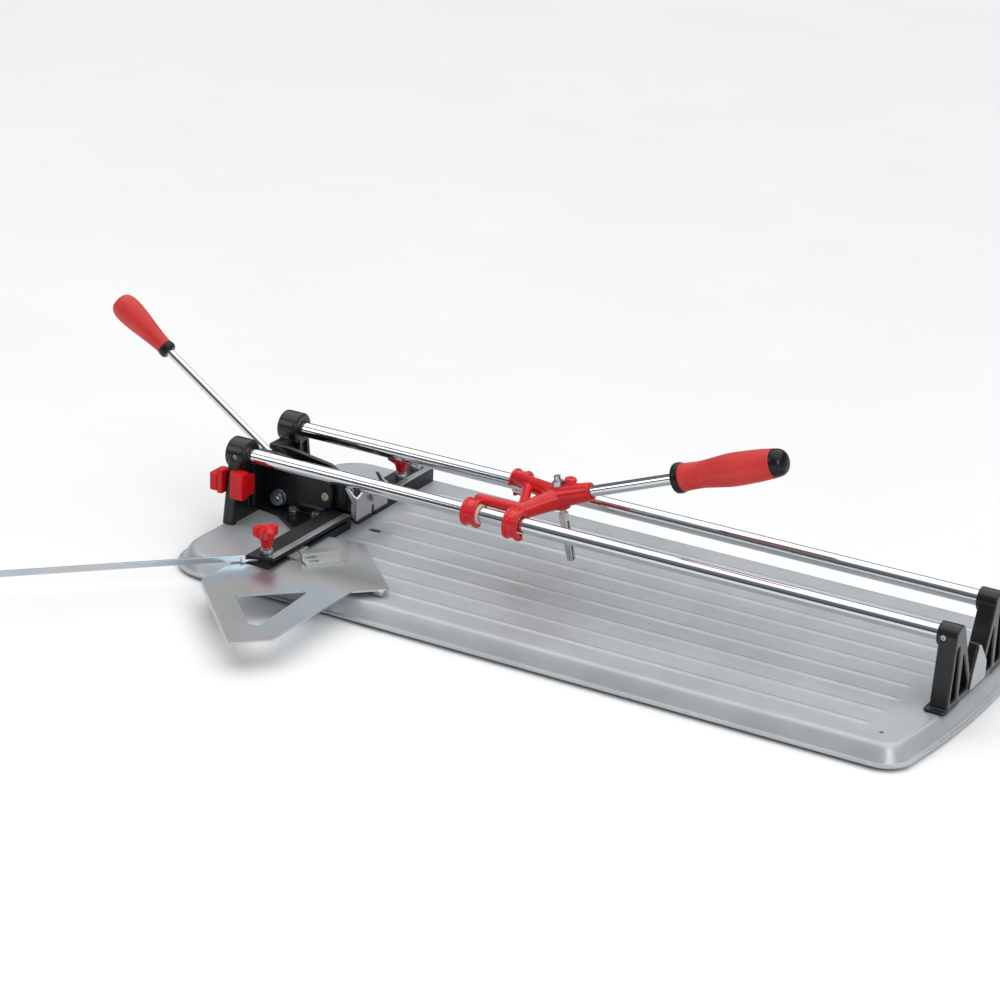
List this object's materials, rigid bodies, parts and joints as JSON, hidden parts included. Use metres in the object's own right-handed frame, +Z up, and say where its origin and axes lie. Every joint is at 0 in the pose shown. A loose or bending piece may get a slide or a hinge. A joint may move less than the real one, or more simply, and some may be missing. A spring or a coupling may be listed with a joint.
{
  "type": "manual tile cutter",
  "caption": "Twin-rail manual tile cutter: scoring carriage with handle on round rails, lever breaker with shoes, measuring fence, square and side arm on a ribbed pressed base",
  "frame": {"origin": "on the surface the cutter stands on, under the scoring line and level with the fence face the tile is pushed against", "axes": "+X along the rails from the fence to the far posts, +Y to the rear, +Z up"},
  "size_m": [1.145, 0.5882, 0.2446],
  "materials": {
    "grey_coat": "fine textured grey coating on pressed sheet",
    "black_casting": "satin black paint on cast aluminium",
    "chrome": "hard chromed round steel",
    "zinc": "bright zinc plate",
    "carriage_red": "gloss red paint on cast aluminium",
    "moulded_red": "glossy red moulded plastic",
    "grip_red": "soft matte red grip material",
    "black_plastic": "matte black moulded plastic",
    "anodised": "natural anodised aluminium",
    "black_anodised": "satin black aluminium bar",
    "black_rubber": "moulded rubber",
    "nylon": "natural nylon",
    "carbide": "ground tungsten carbide",
    "brass_tone": "passivated steel pin"
  },
  "bodies": {
    "frame": {"base_plate": "grey_coat", "base_feet": "black_rubber", "fence_foot_pad": "black_rubber", "base_screws": "zinc", "end_bracket": "black_casting", "far_bracket": "black_casting", "end_plate": "anodised", "front_rail": "chrome", "rear_rail": "chrome", "rail_set_screws": "zinc", "tower_clip": "moulded_red", "fence_front": "black_anodised", "fence_rear": "black_anodised", "ruler_strip_front": "anodised", "ruler_strip_rear": "anodised", "front_stud": "zinc", "front_nut": "zinc", "rear_stud": "zinc", "rear_nut": "zinc", "spare_stud": "zinc", "spare_nut": "zinc", "breaker_housing": "black_casting", "housing_bolts": "zinc", "pivot_pin": "brass_tone", "stop_bolt": "zinc"},
    "front_clamp": {"front_knob": "moulded_red"},
    "rear_clamp": {"rear_knob": "moulded_red"},
    "breaker": {"breaker_arm": "black_casting", "yoke_bolt": "zinc", "lever_rod": "chrome", "lever_collar": "black_plastic", "lever_grip": "grip_red"},
    "shoe": {"shoe_yoke": "zinc", "shoe_pads": "black_rubber"},
    "glides": {"carriage_glides": "nylon"},
    "carriage": {"carriage_body": "carriage_red", "stem_nut": "zinc", "handle_rod": "chrome", "handle_collar": "black_plastic", "handle_grip": "grip_red", "handle_cap": "black_plastic"},
    "stem": {"scoring_stem": "zinc", "wheel_axle": "zinc"},
    "wheel": {"scoring_wheel": "carbide"},
    "square": {"square_plate": "zinc", "square_bracket": "zinc", "square_foot": "zinc"},
    "measuring_arm": {"side_arm": "zinc"}
  },
  "joints": [
    {"name": "carriage_slide", "type": "slide", "parent": "frame", "child": "glides", "axis": [1, 0, 0], "range_m": [-0.246, 0.445]},
    {"name": "carriage_tilt", "type": "hinge", "parent": "glides", "child": "carriage", "pos_m": [0.1895, 0, 0.105], "axis": [0, 1, 0], "range_deg": [-3, 0]},
    {"name": "stem_height", "type": "slide", "parent": "carriage", "child": "stem", "axis": [0.2402, 0, -0.9707], "range_m": [0, 0.01]},
    {"name": "wheel_spin", "type": "hinge", "parent": "stem", "child": "wheel", "pos_m": [0.2885, 0, 0.055], "axis": [0, 1, 0], "continuous": true},
    {"name": "breaker_lever", "type": "hinge", "parent": "frame", "child": "breaker", "pos_m": [-0.035, 0, 0.058], "axis": [0, 1, 0], "range_deg": [0, 13]},
    {"name": "shoe_rock", "type": "hinge", "parent": "breaker", "child": "shoe", "pos_m": [0.012, 0, 0.068], "axis": [1, 0, 0], "range_deg": [-6, 6]},
    {"name": "front_knob_turn", "type": "hinge", "parent": "frame", "child": "front_clamp", "pos_m": [-0.016, -0.165, 0.051], "axis": [0, 0, 1], "continuous": true},
    {"name": "rear_knob_turn", "type": "hinge", "parent": "frame", "child": "rear_clamp", "pos_m": [-0.016, 0.125, 0.051], "axis": [0, 0, 1], "continuous": true},
    {"name": "square_slide", "type": "slide", "parent": "frame", "child": "square", "axis": [0, 1, 0], "range_m": [-0.06, 0.004]},
    {"name": "side_arm_swing", "type": "hinge", "parent": "frame", "child": "measuring_arm", "pos_m": [-0.016, -0.165, 0.037], "axis": [0, 0, 1], "range_deg": [-40, 12]}
  ]
}
